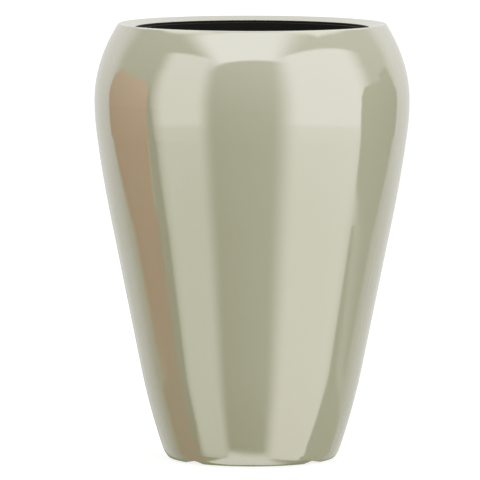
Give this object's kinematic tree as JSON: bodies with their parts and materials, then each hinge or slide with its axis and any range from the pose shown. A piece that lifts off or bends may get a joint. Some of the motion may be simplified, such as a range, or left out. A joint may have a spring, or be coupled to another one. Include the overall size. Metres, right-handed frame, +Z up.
{
  "type": "floor planter",
  "caption": "Tall vase-shaped glossy fibreglass floor planter with a turned-in sloping lip, a black lift-out liner with bail handles, and a lobed foot with drainage channels.",
  "frame": {"origin": "on the floor, under the centre of the foot, on the axis of the vase", "axes": "+Z up along the axis of the vase, the front of the planter faces -Y, the drainage channels run at 45 degrees to X and Y"},
  "size_m": [0.5058, 0.5058, 0.6998],
  "materials": {
    "pearl_gelcoat": "high-gloss pearl champagne lacquer over glass-fibre laminate, black inside",
    "liner_plastic": "fine-textured black polypropylene",
    "handle_plastic": "satin black nylon",
    "bung_rubber": "matt black rubber",
    "pad_rubber": "matt dark grey rubber"
  },
  "bodies": {
    "shell": {"planter_shell": "pearl_gelcoat", "foot_pad_front": "pad_rubber", "foot_pad_back": "pad_rubber", "foot_pad_left": "pad_rubber", "foot_pad_right": "pad_rubber"},
    "liner": {"planting_liner": "liner_plastic"},
    "left_handle": {"liner_handle_left": "handle_plastic"},
    "right_handle": {"liner_handle_right": "handle_plastic"},
    "bung": {"drain_bung": "bung_rubber"}
  },
  "joints": [
    {"name": "liner_lift", "type": "slide", "parent": "shell", "child": "liner", "axis": [0, 0, 1], "range_m": [0, 0.32]},
    {"name": "left_handle_swing", "type": "hinge", "parent": "liner", "child": "left_handle", "pos_m": [-0.15156, 0, 0.6648], "axis": [0, -1, 0], "range_deg": [0, 180]},
    {"name": "right_handle_swing", "type": "hinge", "parent": "liner", "child": "right_handle", "pos_m": [0.15156, 0, 0.6648], "axis": [0, 1, 0], "range_deg": [0, 180]},
    {"name": "bung_lift", "type": "slide", "parent": "shell", "child": "bung", "axis": [0, 0, 1], "range_m": [0, 0.05]}
  ]
}
